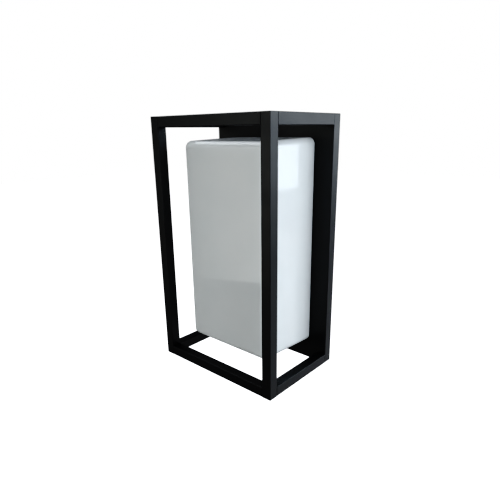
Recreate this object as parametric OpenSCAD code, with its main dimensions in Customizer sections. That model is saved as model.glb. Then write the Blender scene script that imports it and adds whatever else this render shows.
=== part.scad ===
// Outdoor wall lantern: an open cage of square bar around an opal diffuser box.
// Origin on the wall plane, at the middle of the wall bracket. +Z is up, +X is to the right
// seen from the front, and the lantern stands out from the wall along -Y.

/* [Cage] */
// Overall width of the lantern
lantern_w = 178; // [174:1:200]
// Overall height of the lantern
lantern_h = 300; // [296:1:340]
// Depth from the wall to the front of the cage
lantern_d = 121; // [118:1:140]
// Side of the square bar
bar = 12; // [11:0.5:13]
// Wall thickness of the square bar, which is a tube
bar_wall = 1.5; // [1.2:0.1:2]

/* [Back box] */
// Depth of the shallow back box that covers the wall bracket
box_d = 12; // [11:0.5:14]
// Sheet thickness of the back box
box_t = 1.6; // [1.2:0.1:2]

/* [Diffuser] */
// Width of the diffuser at its rim
diffuser_w = 130; // [128:1:134]
// Height of the diffuser at its rim
diffuser_h = 251; // [249:1:255]
// How far the front of the diffuser stands out from the back box
diffuser_d = 85.3; // [80:0.1:90]
// How much each side leans in from the rim to the front
diffuser_draft = 2.7; // [2:0.1:3]
// Radius of the diffuser's rounded edges
diffuser_r = 8; // [5:0.5:9]
// Wall thickness of the diffuser
diffuser_t = 3; // [2.5:0.1:3]

/* [Wall bracket] */
// Width of the bracket strap
strap_w = 32; // [30:1:40]
// Thickness of the bracket strap
strap_t = 2; // [1.5:0.1:2.5]
// Distance between the two wall screw slots
slot_pitch = 150; // [130:1:160]
// End-to-end length of a wall screw slot
slot_len = 14; // [10:1:18]
// Half the width of a wall screw slot
slot_r = 2.75; // [2:0.05:3]
// Distance between the two mounting studs
stud_pitch = 224; // [220:1:226]

/* [Cable entry] */
// Radius of the hole through the cable grommet
cable_r = 3.5; // [2.5:0.1:4.5]

/* [Lamp] */
// Distance of the lamp's axis from the wall
lamp_axis_d = 54; // [52:1:56]
// Height of the lampholder's seat, measured from the lantern's middle
seat_z = -95; // [-97:1:-92]
// Diameter of the lamp's globe
globe_d = 60; // [55:1:60]

/* [Hidden] */

$fn = 48;
eps = 0.01;
both = [-1, 1];

half_w = lantern_w / 2;
half_h = lantern_h / 2;
tube_in = bar - 2 * bar_wall;
post_x = half_w - bar / 2;
post_y = -lantern_d + bar / 2;
rail_z = half_h - bar / 2;
side_rail_l = lantern_d - bar - box_d;
front_rail_l = lantern_w - 2 * bar;
end_cap_t = 3;

plug_l = 14;
m4_r = 2;
m4_clear_r = 2.2;
m4_head_r = 4;
m4_head_h = 2.4;
cage_screw_l = 14;

plate_y = -box_d;
sheet_back_y = plate_y + box_t;
seal_w = 8;
seal_half_w = post_x - m4_head_r - 0.5;
seal_half_h = rail_z - m4_head_r - 0.5;
drain_r = 2.5;

strap_h = stud_pitch + 20;
window_r = 10;
stud_r = 2.5;
stud_collar_r = 3.5;
stud_collar_h = 1;
stud_hole_r = 2.7;
stud_out = 9;
washer_r = 5;
washer_t = 1.2;
nut_flat = 8;
nut_h = 5;
dome_r = 3.6;

grommet_r = 10;
grommet_neck_r = 8;
grommet_lip = 2.4;

reflector_t = 1;
reflector_y = plate_y - reflector_t;
reflector_inset = 7;
reflector_half_w = diffuser_w / 2 - reflector_inset;
reflector_half_h = diffuser_h / 2 - reflector_inset;
rivet_r = 1.6;
rivet_head_r = 3.2;
rivet_head_h = 1.1;
rivet_inset = 10;

gasket_t = 3;
gasket_w = 2;
gasket_clear = 0.4;
rim_gap = 0.3;
rim_y = plate_y - rim_gap;
diffuser_front_y = plate_y - diffuser_d;
clip_t = 0.6;
clip_w = 12;
clip_z = 85;
clip_gap = 0.65;
clip_foot = 10;
clip_knee_out = 8;
clip_tip_out = 15;

lamp_y = -lamp_axis_d;
shelf_t = 1.5;
shelf_half_w = 16;
shelf_l = 60;
flange_h = 30;
flange_rivet_x = 9;
flange_rivet_z = seat_z + 20;

holder_h = 50;
holder_r = 19.5;
holder_neck_r = 14;
holder_neck_h = 12;
socket_depth = 27;
rim_z = seat_z + holder_h;
socket_floor_z = rim_z - socket_depth;
shell_in_r = 13.5;
shell_t = 0.6;
shell_h = 22;
shell_ledge = 3;
shell_z = socket_floor_z + 2;
spring_z = socket_floor_z + 1.2;
spring_t = 0.6;
nipple_r = 5;
nipple_in_r = 3.5;
nipple_up = 7;
nipple_down = 8;
holder_nut_flat = 14;
holder_nut_h = 4;
wire_r = 1.2;
wire_hole_r = 1.3;

contact_z = spring_z + spring_t + 0.3;
contact_h = 1.4;
contact_r = 4.5;
insulator_h = 2.6;
insulator_r = 9.5;
cap_z = contact_z + contact_h + insulator_h;
cap_h = 23;
cap_crest_r = 13.2;
cap_root_r = 12.2;
cap_t = 0.5;
thread_pitch = 3.63;
thread_turns = 5;
cap_top_z = cap_z + cap_h;
globe_r = globe_d / 2;
globe_up = 51;
globe_mid_z = cap_top_z + globe_up;
globe_cut = 10;
globe_low_z = globe_mid_z - globe_cut;
globe_t = 1.2;
globe_low_r = sqrt(globe_r * globe_r - globe_cut * globe_cut);
housing_t = 1.8;
housing_low_r = 14.5;
led_board_t = 1.6;
led_count = 10;

block_pitch = 11.5;
block_half_w = 17;
block_h = 16;
block_low_z = 72;
block_l = 20;
barrel_out = 7;
barrel_y = reflector_y - barrel_out;
barrel_r = 3.2;
barrel_in_r = 1.7;
terminal_screw_r = 1.5;
block_well_r = 2.1;
m3_head_r = 2.8;
m3_head_h = 1.8;

earth_x = 30;
earth_z = 60;
tag_t = 0.8;
tag_r = 4.4;
crimp_r = 1.9;
crimp_l = 6;
crimp_x = earth_x - m4_head_r - 0.1 - crimp_l;
wire_out = 6.5;
wire_plane_y = reflector_y - wire_out;
wire_entry_z = seat_z + 6;
wire_holder_x = 6;
wire_run_x = 13;
wire_run_high_z = 30;
wire_run_low_z = -20;
wire_turn_x = 7;
wire_turn_z = -60;

// ---- Shared shapes -------------------------------------------------------

// A cylinder that runs from y0 towards the wall, to y1
module rod_y(r, y0, y1) {
    translate([0, y0, 0]) rotate([-90, 0, 0]) cylinder(r = r, h = y1 - y0);
}

// A square tube along Z, from z = 0
module tube(length) {
    difference() {
        translate([-bar / 2, -bar / 2, 0]) cube([bar, bar, length]);
        translate([-tube_in / 2, -tube_in / 2, -1]) cube([tube_in, tube_in, length + 2]);
    }
}

// A flat ring in the XZ plane that runs from y0 to y1
module ring_y(half_x, half_z, width, y0, y1) {
    difference() {
        translate([-half_x, y0, -half_z]) cube([2 * half_x, y1 - y0, 2 * half_z]);
        translate([-half_x + width, y0 - 1, -half_z + width])
            cube([2 * (half_x - width), y1 - y0 + 2, 2 * (half_z - width)]);
    }
}

// Places its children at the four corners of a rectangle in the XZ plane
module at_corners(x, z) {
    for (sx = both, sz = both) translate([sx * x, 0, sz * z]) children();
}

// A slab in the XZ plane with rounded corners, from y0 to y1
module rounded_slab(half_x, half_z, r, y0, y1) {
    for (half = [[half_x - r, half_z], [half_x, half_z - r]])
        translate([-half[0], y0, -half[1]]) cube([2 * half[0], y1 - y0, 2 * half[1]]);
    at_corners(half_x - r, half_z - r) rod_y(r, y0, y1);
}

// A screw with a domed head at y_seat; its shank runs towards the wall, or away with side = -1
module pan_screw(r, head_r, head_h, y_seat, shank, side) {
    translate([0, y_seat, 0]) rotate([side * -90, 0, 0]) rotate_extrude() polygon([
        [0, -head_h], [head_r * 0.7, -head_h], [head_r, -head_h * 0.45], [head_r, 0],
        [r, 0], [r, shank - r * 0.5], [r * 0.5, shank], [0, shank]
    ]);
}

// ---- Cage ----------------------------------------------------------------

module front_post(side) {
    color("#1b1b1d") translate([side * post_x, post_y, -half_h]) tube(lantern_h);
}

module front_rail(side) {
    color("#1b1b1d") translate([-front_rail_l / 2, post_y, side * rail_z])
        rotate([0, 90, 0]) tube(front_rail_l);
}

module side_rail(side_x, side_z) {
    color("#1b1b1d") translate([side_x * post_x, plate_y - side_rail_l, side_z * rail_z])
        rotate([-90, 0, 0]) tube(side_rail_l);
}

module post_end_caps() {
    color("#222224") for (sx = both, sz = both)
        translate([sx * post_x, post_y, sz * (half_h - end_cap_t / 2)])
            cube([tube_in, tube_in, end_cap_t], center = true);
}

module rail_plugs() {
    color("silver") at_corners(post_x, rail_z) difference() {
        translate([-tube_in / 2, plate_y - plug_l, -tube_in / 2]) cube([tube_in, plug_l, tube_in]);
        rod_y(m4_r, plate_y - plug_l - 1, plate_y + 1);
    }
}

module cage_screws() {
    color("lightgrey") at_corners(post_x, rail_z)
        pan_screw(m4_r, m4_head_r, m4_head_h, sheet_back_y, cage_screw_l, -1);
}

// ---- Back box and wall bracket -------------------------------------------

module back_box() {
    color("#1b1b1d") difference() {
        translate([-half_w, plate_y, -half_h]) cube([lantern_w, box_d, lantern_h]);
        translate([-half_w + box_t, sheet_back_y, -half_h + box_t])
            cube([lantern_w - 2 * box_t, box_d, lantern_h - 2 * box_t]);
        at_corners(post_x, rail_z) rod_y(m4_clear_r, plate_y - 1, 1);
        for (s = both) translate([0, 0, s * stud_pitch / 2]) rod_y(stud_hole_r, plate_y - 1, 1);
        rod_y(grommet_neck_r, plate_y - 1, 1);
        at_rivets() rod_y(rivet_r, plate_y - 1, 1);
        at_block_screws() rod_y(terminal_screw_r, plate_y - 1, 1);
        translate([earth_x, 0, earth_z]) rod_y(m4_r, plate_y - 1, 1);
        translate([0, plate_y / 2, -half_h - 1]) cylinder(r = drain_r, h = box_t + 2);
    }
}

module wall_seal() {
    color("#303030") ring_y(seal_half_w, seal_half_h, seal_w, sheet_back_y, 0);
}

// A slot that runs along Z, cut right through the strap
module wall_slot() {
    reach = slot_len / 2 - slot_r;
    for (s = both) translate([0, 0, s * reach]) rod_y(slot_r, -strap_t - 1, 1);
    translate([-slot_r, -strap_t - 1, -reach]) cube([2 * slot_r, strap_t + 2, 2 * reach]);
}

module wall_bracket() {
    color("lightsteelblue") difference() {
        translate([-strap_w / 2, -strap_t, -strap_h / 2]) cube([strap_w, strap_t, strap_h]);
        rod_y(window_r, -strap_t - 1, 1);
        for (s = both) {
            translate([0, 0, s * slot_pitch / 2]) wall_slot();
            translate([0, 0, s * stud_pitch / 2]) rod_y(stud_r, -strap_t - 1, 1);
        }
    }
}

module bracket_studs() {
    color("silver") for (s = both) translate([0, 0, s * stud_pitch / 2]) {
        rod_y(stud_r, plate_y - stud_out, 0);
        rod_y(stud_collar_r, -strap_t - stud_collar_h, -strap_t);
    }
}

module stud_washers() {
    color("#303030") for (s = both) translate([0, 0, s * stud_pitch / 2]) difference() {
        rod_y(washer_r, reflector_y - washer_t, reflector_y);
        rod_y(stud_r, reflector_y - washer_t - 1, reflector_y + 1);
    }
}

module cap_nuts() {
    seat_y = reflector_y - washer_t;
    color("silver") for (s = both) translate([0, seat_y, s * stud_pitch / 2]) rotate([90, 0, 0])
        difference() {
            union() {
                cylinder(d = nut_flat / cos(30), h = nut_h, $fn = 6);
                translate([0, 0, nut_h]) rotate_extrude() intersection() {
                    circle(r = dome_r);
                    square(dome_r);
                }
            }
            translate([0, 0, -1]) cylinder(r = stud_r, h = stud_out - reflector_t - washer_t + 1);
        }
}

// A grommet that grips the edge of the sheet, with the hole that the cable comes through
module cable_grommet() {
    color("#262626") difference() {
        union() {
            rod_y(grommet_neck_r, reflector_y, sheet_back_y);
            rod_y(grommet_r, reflector_y - grommet_lip, reflector_y);
            rod_y(grommet_r, sheet_back_y, sheet_back_y + grommet_lip);
        }
        rod_y(cable_r, reflector_y - grommet_lip - 1, sheet_back_y + grommet_lip + 1);
    }
}

// ---- Reflector plate, clips and diffuser ---------------------------------

module at_rivets() {
    at_corners(reflector_half_w - rivet_inset, reflector_half_h - rivet_inset) children();
    for (s = both) translate([s * flange_rivet_x, 0, flange_rivet_z]) children();
}

module at_block_screws() {
    for (s = both) translate([s * block_pitch / 2, 0, block_low_z + block_l / 2]) children();
}

module reflector_plate() {
    color("white") difference() {
        translate([-reflector_half_w, reflector_y, -reflector_half_h])
            cube([2 * reflector_half_w, reflector_t, 2 * reflector_half_h]);
        for (s = both) translate([0, 0, s * stud_pitch / 2])
            rod_y(stud_hole_r, reflector_y - 1, plate_y + 1);
        rod_y(grommet_neck_r, reflector_y - 1, plate_y + 1);
        at_rivets() rod_y(rivet_r, reflector_y - 1, plate_y + 1);
        at_block_screws() rod_y(terminal_screw_r, reflector_y - 1, plate_y + 1);
        translate([earth_x, 0, earth_z]) rod_y(m4_r, reflector_y - 1, plate_y + 1);
    }
}

// A blind rivet that clamps from seat_y to the back of the box's sheet
module rivet(seat_y) {
    rod_y(rivet_r, seat_y, sheet_back_y);
    rod_y(rivet_head_r, seat_y - rivet_head_h, seat_y);
    rod_y(rivet_r * 1.5, sheet_back_y, sheet_back_y + rivet_head_h * 2);
}

module rivets() {
    color("silver") {
        at_corners(reflector_half_w - rivet_inset, reflector_half_h - rivet_inset)
            rivet(reflector_y);
        for (s = both) translate([s * flange_rivet_x, 0, flange_rivet_z])
            rivet(reflector_y - shelf_t);
    }
}

// Leaf clips of spring steel that bear on the inside of the diffuser
module diffuser_clips() {
    bend_x = reflector_half_w - 2;
    foot_x = bend_x - clip_foot;
    grip_x = diffuser_w / 2 - diffuser_t - clip_gap;
    tip_x = bend_x + 1;
    y0 = reflector_y;
    leaf = [
        [foot_x, y0], [bend_x, y0], [grip_x, y0 - clip_knee_out], [tip_x, y0 - clip_tip_out],
        [tip_x - clip_t, y0 - clip_tip_out + clip_t / 2],
        [grip_x - clip_t * 1.15, y0 - clip_knee_out],
        [bend_x - clip_t * 0.6, y0 - clip_t], [foot_x, y0 - clip_t]
    ];
    color("silver") for (sx = both, sz = both)
        translate([0, 0, sz * clip_z - clip_w / 2]) mirror([sx < 0 ? 1 : 0, 0, 0])
            linear_extrude(clip_w) polygon(leaf);
}

// A rubber lip that stands just inside the diffuser's rim and follows its corners
module diffuser_gasket() {
    inset = diffuser_t + gasket_clear;
    half_x = diffuser_w / 2 - inset;
    half_z = diffuser_h / 2 - inset;
    r = diffuser_r - inset;
    color("#303030") difference() {
        rounded_slab(half_x, half_z, r, plate_y - gasket_t, plate_y);
        rounded_slab(half_x - gasket_w, half_z - gasket_w, max(r - gasket_w, gasket_w / 4),
                     plate_y - gasket_t - 1, plate_y + 1);
    }
}

// The drafted block with rounded edges whose outside, or inside, is the diffuser
module diffuser_block(inset, back_y) {
    r = diffuser_r - inset;
    rear_x = diffuser_w / 2 - diffuser_r;
    rear_z = diffuser_h / 2 - diffuser_r;
    front_x = rear_x - diffuser_draft;
    front_z = rear_z - diffuser_draft;
    hull() {
        at_corners(rear_x, rear_z) rod_y(r, back_y - 1, back_y, $fn = 32);
        at_corners(front_x, front_z) translate([0, diffuser_front_y + diffuser_r, 0])
            rotate([90, 0, 0]) sphere(r = r, $fn = 32);
    }
}

module diffuser() {
    color("#dfe3e8") difference() {
        diffuser_block(0, rim_y);
        diffuser_block(diffuser_t, rim_y + 1);
    }
}

// ---- Lampholder ----------------------------------------------------------

module lampholder_bracket() {
    color("white") difference() {
        union() {
            translate([-shelf_half_w, reflector_y - shelf_l, seat_z - shelf_t])
                cube([2 * shelf_half_w, shelf_l, shelf_t]);
            translate([-shelf_half_w, reflector_y - shelf_t, seat_z - shelf_t])
                cube([2 * shelf_half_w, shelf_t, flange_h + shelf_t]);
        }
        translate([0, lamp_y, seat_z - shelf_t - 1]) cylinder(r = nipple_r, h = shelf_t + 2);
        for (s = both) translate([s * flange_rivet_x, 0, flange_rivet_z])
            rod_y(rivet_r, reflector_y - shelf_t - 1, reflector_y + 1);
    }
}

module at_wire_entries() {
    for (s = both) translate([s * wire_holder_x, 0, wire_entry_z]) children();
}

module lampholder_body() {
    shoulder = 3;
    lip = 2;
    bore_r = shell_in_r + shell_t;
    color("ivory") difference() {
        translate([0, lamp_y, 0]) rotate_extrude() polygon([
            [nipple_r, seat_z], [holder_neck_r, seat_z], [holder_neck_r, seat_z + holder_neck_h],
            [holder_r, seat_z + holder_neck_h + shoulder], [holder_r, rim_z - lip],
            [holder_r - lip, rim_z], [bore_r + lip / 2, rim_z], [bore_r, rim_z - lip / 2],
            [bore_r, shell_z], [bore_r - shell_ledge, shell_z],
            [bore_r - shell_ledge, socket_floor_z],
            [0, socket_floor_z], [0, seat_z + nipple_up], [nipple_r, seat_z + nipple_up]
        ]);
        at_wire_entries() rod_y(wire_hole_r, lamp_y + nipple_r + 3, lamp_y + holder_r);
    }
}

module lampholder_shell() {
    color("gold") translate([0, lamp_y, shell_z]) rotate_extrude() polygon([
        [shell_in_r - shell_ledge, 0], [shell_in_r + shell_t, 0], [shell_in_r + shell_t, shell_h],
        [shell_in_r, shell_h], [shell_in_r, shell_t], [shell_in_r - shell_ledge, shell_t]
    ]);
}

module lampholder_contact() {
    leaf_l = 16;
    leaf_w = 6;
    color("gold") {
        translate([0, lamp_y, socket_floor_z]) cylinder(r = 2.5, h = spring_z - socket_floor_z);
        translate([-leaf_l / 2, lamp_y - leaf_w / 2, spring_z]) cube([leaf_l, leaf_w, spring_t]);
    }
}

module lampholder_nipple() {
    color("silver") translate([0, lamp_y, seat_z - nipple_down]) difference() {
        cylinder(r = nipple_r, h = nipple_down + nipple_up);
        translate([0, 0, -1]) cylinder(r = nipple_in_r, h = nipple_down + nipple_up + 2);
    }
}

module lampholder_nut() {
    color("silver") translate([0, lamp_y, seat_z - shelf_t - holder_nut_h]) difference() {
        cylinder(d = holder_nut_flat / cos(30), h = holder_nut_h, $fn = 6);
        translate([0, 0, -1]) cylinder(r = nipple_r, h = holder_nut_h + 2);
    }
}

// ---- Lamp ----------------------------------------------------------------

module lamp_contact() {
    color("gold") translate([0, lamp_y, contact_z]) rotate_extrude() polygon([
        [0, 0], [contact_r * 0.6, 0], [contact_r, contact_h * 0.6], [contact_r, contact_h],
        [0, contact_h]
    ]);
}

module lamp_insulator() {
    color("#141414") translate([0, lamp_y, contact_z + contact_h]) rotate_extrude() polygon([
        [0, 0], [contact_r, 0], [insulator_r, insulator_h], [0, insulator_h]
    ]);
}

// The screw cap, a thin shell with its rolled thread as rings
module lamp_cap() {
    bottom_t = 0.8;
    thread = [for (i = [0 : thread_turns * 8])
        let (z = i * thread_pitch / 8, wave = (1 - cos(i * 45)) / 2)
        [cap_root_r + wave * (cap_crest_r - cap_root_r), 2 + z]];
    wall = [for (p = thread) [p.x - cap_t, p.y]];
    wall_up = [for (i = [len(wall) - 1 : -1 : 0]) wall[i]];
    color("silver") translate([0, lamp_y, cap_z]) rotate_extrude() polygon(concat(
        [[0, 0], [insulator_r, 0]], thread, [[cap_root_r + 0.2, cap_h], [cap_root_r - cap_t, cap_h]],
        wall_up, [[insulator_r - cap_t, bottom_t], [0, bottom_t]]
    ));
}

// Outer radius of the lamp's housing at a share s of its height, from 0 to 1
function housing_r(s) = housing_low_r + (globe_low_r - housing_low_r) * (1 - cos(s * 90) * (1 - s * 0.35));

module lamp_housing() {
    steps = 12;
    height = globe_low_z - cap_top_z;
    outer = [for (i = [0 : steps]) [housing_r(i / steps), cap_top_z + height * i / steps]];
    inner = [for (i = [steps : -1 : 0]) [housing_r(i / steps) - housing_t, outer[i].y]];
    floor_t = 2;
    floor_in = [for (p = inner) if (p.y > cap_top_z + floor_t) p];
    color("white") translate([0, lamp_y, 0]) rotate_extrude() polygon(concat(
        outer, floor_in, [[housing_low_r - housing_t, cap_top_z + floor_t],
        [0, cap_top_z + floor_t], [0, cap_top_z]]
    ));
}

module lamp_led_board() {
    board_r = globe_low_r - housing_t - 1.5;
    chip = 3;
    chip_up = 0.6;
    sunk = 0.2;
    color("whitesmoke") translate([0, lamp_y, globe_low_z - led_board_t]) {
        cylinder(r = board_r, h = led_board_t);
        for (i = [0 : led_count - 1]) rotate([0, 0, i * 360 / led_count])
            translate([board_r * 0.7 - chip / 2, -chip / 2, led_board_t - sunk])
                cube([chip, chip, chip_up + sunk]);
    }
}

module lamp_driver() {
    board = [16, 1.2, 26];
    capacitor_r = 3.5;
    choke = [9, 6.2, 9];
    low = cap_top_z + 3;
    color("seagreen") translate([0, lamp_y, low]) {
        translate([-board.x / 2, -board.y / 2, 0]) cube(board);
        translate([-3, capacitor_r + 0.2, 5]) cylinder(r = capacitor_r, h = 12);
        translate([-4, -choke.y, 9]) cube(choke);
    }
}

module lamp_globe() {
    color("white") translate([0, lamp_y, globe_mid_z]) rotate_extrude() difference() {
        circle(r = globe_r, $fn = 96);
        circle(r = globe_r - globe_t, $fn = 96);
        translate([-globe_r - 1, -globe_r - 1]) square([globe_r + 1, globe_d + 2]);
        translate([0, -globe_r - 1]) square([globe_r + 1, globe_r + 1 - globe_cut]);
    }
}

// ---- Terminal block and earth --------------------------------------------

module at_poles() {
    for (i = [-1 : 1]) translate([i * block_pitch, 0, 0]) children();
}

module at_terminal_screws() {
    at_poles() for (share = [0.25, 0.75]) translate([0, 0, block_low_z + block_l * share])
        children();
}

module terminal_block() {
    front_y = reflector_y - block_h;
    color("whitesmoke") difference() {
        translate([-block_half_w, front_y, block_low_z]) cube([2 * block_half_w, block_h, block_l]);
        at_poles() translate([0, barrel_y, block_low_z - 1]) cylinder(r = barrel_r, h = block_l + 2);
        at_terminal_screws() rod_y(block_well_r, front_y - 1, barrel_y);
        at_block_screws() rod_y(terminal_screw_r, front_y - 1, reflector_y + 1);
    }
}

module terminal_barrels() {
    color("gold") difference() {
        at_poles() translate([0, barrel_y, block_low_z + 1]) difference() {
            cylinder(r = barrel_r, h = block_l - 2);
            translate([0, 0, -1]) cylinder(r = barrel_in_r, h = block_l);
        }
        at_terminal_screws() rod_y(terminal_screw_r, barrel_y - barrel_r - 1, barrel_y);
    }
}

module terminal_screws() {
    tip_y = barrel_y - barrel_in_r * 0.6;
    head_y = barrel_y - barrel_r - 2.4;
    slot = [0.6, 1, 4];
    color("silver") at_terminal_screws() difference() {
        rod_y(terminal_screw_r, head_y, tip_y);
        translate([-slot.x / 2, head_y - slot.y / 2, -slot.z / 2]) cube(slot);
    }
}

module terminal_fixing_screws() {
    color("silver") at_block_screws()
        pan_screw(terminal_screw_r, m3_head_r, m3_head_h, reflector_y - block_h,
                  block_h + reflector_t + box_t + 1.5, 1);
}

module earth_screw() {
    color("silver") translate([earth_x, 0, earth_z])
        pan_screw(m4_r, m4_head_r, m4_head_h, reflector_y - tag_t,
                  tag_t + reflector_t + box_t + 3, 1);
}

// The ring tag under the earth screw, with the crimped sleeve that holds the wire
module earth_tag() {
    crimp_y = reflector_y - crimp_r;
    color("silver") difference() {
        union() {
            translate([earth_x, 0, earth_z]) rod_y(tag_r, reflector_y - tag_t, reflector_y);
            translate([crimp_x, crimp_y, earth_z]) rotate([0, 90, 0])
                cylinder(r = crimp_r, h = crimp_l);
        }
        translate([earth_x, 0, earth_z]) rod_y(m4_r, reflector_y - tag_t - 1, reflector_y + 1);
        translate([crimp_x - 1, crimp_y, earth_z]) rotate([0, 90, 0])
            cylinder(r = wire_r, h = crimp_l - 1);
    }
}

// ---- Wires ---------------------------------------------------------------

wire_sides = 8;
bend_steps = 5;

function middle(a, b) = (a + b) / 2;
function bend(a, b, c, u) = (1 - u) * (1 - u) * a + 2 * u * (1 - u) * b + u * u * c;

// A smooth line that starts and ends on the end points and rounds every point between them
function smooth(p) = concat(
    [p[0]],
    [for (i = [1 : len(p) - 2], j = [0 : bend_steps])
        bend(middle(p[i - 1], p[i]), p[i], middle(p[i], p[i + 1]), j / bend_steps)
    ],
    [p[len(p) - 1]]
);

// A smooth line without the points that would repeat the one before them
function line_of(p) = let (s = smooth(p))
    [for (i = [0 : len(s) - 1]) if (i == 0 || norm(s[i] - s[i - 1]) > eps) s[i]];

function unit(v) = v / norm(v);

// A round wire swept along a line; across is a direction that the line never runs along
module wire(points, across) {
    line = line_of(points);
    last = len(line) - 1;
    rings = [for (i = [0 : last])
        let (t = unit(line[min(i + 1, last)] - line[max(i - 1, 0)]),
             u = unit(cross(t, across)), v = cross(t, u))
        for (k = [0 : wire_sides - 1])
            line[i] + wire_r * (cos(k * 360 / wire_sides) * u + sin(k * 360 / wire_sides) * v)];
    side_faces = [for (i = [0 : last - 1], k = [0 : wire_sides - 1])
        let (a = i * wire_sides + k, b = i * wire_sides + (k + 1) % wire_sides)
        [a, b, b + wire_sides, a + wire_sides]];
    first_end = [for (k = [wire_sides - 1 : -1 : 0]) k];
    last_end = [for (k = [0 : wire_sides - 1]) last * wire_sides + k];
    polyhedron(rings, concat([first_end], side_faces, [last_end]), convexity = 6);
}

// From the terminal block down behind the lamp and forward into the lampholder's neck
function supply_route(side) = [
    [side * block_pitch, barrel_y, block_low_z + 1],
    [side * block_pitch, barrel_y, block_low_z - 12],
    [side * wire_run_x, wire_plane_y, wire_run_high_z],
    [side * wire_run_x, wire_plane_y, wire_run_low_z],
    [side * wire_turn_x, wire_plane_y, wire_turn_z],
    [side * wire_holder_x, wire_plane_y, wire_entry_z],
    [side * wire_holder_x, lamp_y + nipple_r + 4, wire_entry_z]
];

module live_wire() {
    color("saddlebrown") wire(supply_route(-1), [1, 0, 0]);
}

module neutral_wire() {
    color("royalblue") wire(supply_route(1), [1, 0, 0]);
}

module earth_wire() {
    color("yellowgreen") wire([
        [0, barrel_y, block_low_z + 1],
        [0, barrel_y, block_low_z - 10],
        [6, reflector_y - crimp_r, earth_z],
        [crimp_x + crimp_l - 2, reflector_y - crimp_r, earth_z]
    ], [0, 1, 0]);
}

front_post(-1);  // front_post_left
front_post(1);  // front_post_right
front_rail(1);  // front_rail_top
front_rail(-1);  // front_rail_bottom
side_rail(-1, 1);  // side_rail_top_left
side_rail(1, 1);  // side_rail_top_right
side_rail(-1, -1);  // side_rail_bottom_left
side_rail(1, -1);  // side_rail_bottom_right
post_end_caps();
rail_plugs();
cage_screws();
back_box();
wall_seal();
wall_bracket();
bracket_studs();
stud_washers();
cap_nuts();
cable_grommet();
reflector_plate();
rivets();
diffuser_clips();
diffuser_gasket();
diffuser();
lampholder_bracket();
lampholder_body();
lampholder_shell();
lampholder_contact();
lampholder_nipple();
lampholder_nut();
lamp_contact();
lamp_insulator();
lamp_cap();
lamp_housing();
lamp_led_board();
lamp_driver();
lamp_globe();
terminal_block();
terminal_barrels();
terminal_screws();
terminal_fixing_screws();
earth_screw();
earth_tag();
live_wire();
neutral_wire();
earth_wire();
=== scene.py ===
import math

import bpy
import numpy as np
from mathutils import Matrix, Vector


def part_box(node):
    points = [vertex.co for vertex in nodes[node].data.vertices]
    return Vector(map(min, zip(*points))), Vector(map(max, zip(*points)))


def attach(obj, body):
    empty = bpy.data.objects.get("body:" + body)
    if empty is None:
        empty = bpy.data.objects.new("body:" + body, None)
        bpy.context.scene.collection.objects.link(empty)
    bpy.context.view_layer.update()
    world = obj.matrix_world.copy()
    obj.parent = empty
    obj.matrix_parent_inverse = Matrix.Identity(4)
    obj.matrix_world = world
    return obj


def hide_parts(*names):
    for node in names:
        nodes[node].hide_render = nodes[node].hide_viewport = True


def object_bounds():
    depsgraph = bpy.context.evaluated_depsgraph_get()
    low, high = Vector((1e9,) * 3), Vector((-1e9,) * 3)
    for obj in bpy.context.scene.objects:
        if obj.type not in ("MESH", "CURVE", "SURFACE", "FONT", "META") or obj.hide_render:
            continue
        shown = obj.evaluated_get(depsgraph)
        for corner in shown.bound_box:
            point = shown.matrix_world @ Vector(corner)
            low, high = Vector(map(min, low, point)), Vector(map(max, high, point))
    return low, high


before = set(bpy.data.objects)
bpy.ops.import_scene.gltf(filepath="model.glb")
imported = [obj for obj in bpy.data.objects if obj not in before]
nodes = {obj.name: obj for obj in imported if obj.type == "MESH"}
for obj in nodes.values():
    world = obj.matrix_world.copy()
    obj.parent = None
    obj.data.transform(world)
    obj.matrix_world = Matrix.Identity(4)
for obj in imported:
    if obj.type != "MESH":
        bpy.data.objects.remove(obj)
cad_low, cad_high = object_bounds()

# ---- Camera ---------------------------------------------------------------
# Stands in front of the lantern and to its right, just below the height of its top, and looks down
# a little. Its place is in metres from the middle of the wall bracket.
CAMERA_PLACE = Vector((0.3536, -0.4453, 0.1326))
CAMERA_TURN = 41.61
CAMERA_DOWN = 17.28
CAMERA_ROLL = -0.7
look = bpy.data.cameras.new("camera")
look.sensor_width = 36.0
look.lens = 31.76
look.shift_x = -0.0053
look.shift_y = 0.0369
look.clip_start = 0.01
camera = bpy.data.objects.new("camera", look)
bpy.context.collection.objects.link(camera)
camera.matrix_world = (
    Matrix.Translation(CAMERA_PLACE)
    @ Matrix.Rotation(math.radians(CAMERA_TURN), 4, "Z")
    @ Matrix.Rotation(math.radians(90.0 - CAMERA_DOWN), 4, "X")
    @ Matrix.Rotation(math.radians(CAMERA_ROLL), 4, "Z")
)
bpy.context.scene.camera = camera
# A tone curve like that of film, as pairs of scene light and shown light: it deepens the blacks.
TONE_CURVE = [(0.02, 0.002), (0.05, 0.008), (0.09, 0.038), (0.16, 0.125), (0.35, 0.35)]
view = bpy.context.scene.view_settings
view.view_transform = "Standard"
view.use_curve_mapping = True
tone = view.curve_mapping.curves[3]
for light_in, light_out in TONE_CURVE:
    tone.points.new(light_in, light_out)
view.curve_mapping.update()


# ---- Cage: posts and rails ------------------------------------------------
# Square aluminium tube of 12 mm, sawn square, butt-jointed and welded, then powder-coated black as
# one frame. The coat rounds every edge a little and leaves a fine line where two bars meet.
MM = 0.001
BAR_EDGE = 0.7 * MM
JOINT_EASE = 0.2 * MM
BAR_WALL = 1.5 * MM
# A noise texture's values lie mostly between these two.
NOISE_LOW, NOISE_HIGH = 0.3, 0.7
# The colour sockets of a Mix node share their names with its other sockets, so they go by number.
MIX_A, MIX_B, MIX_RESULT = 6, 7, 2


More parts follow.
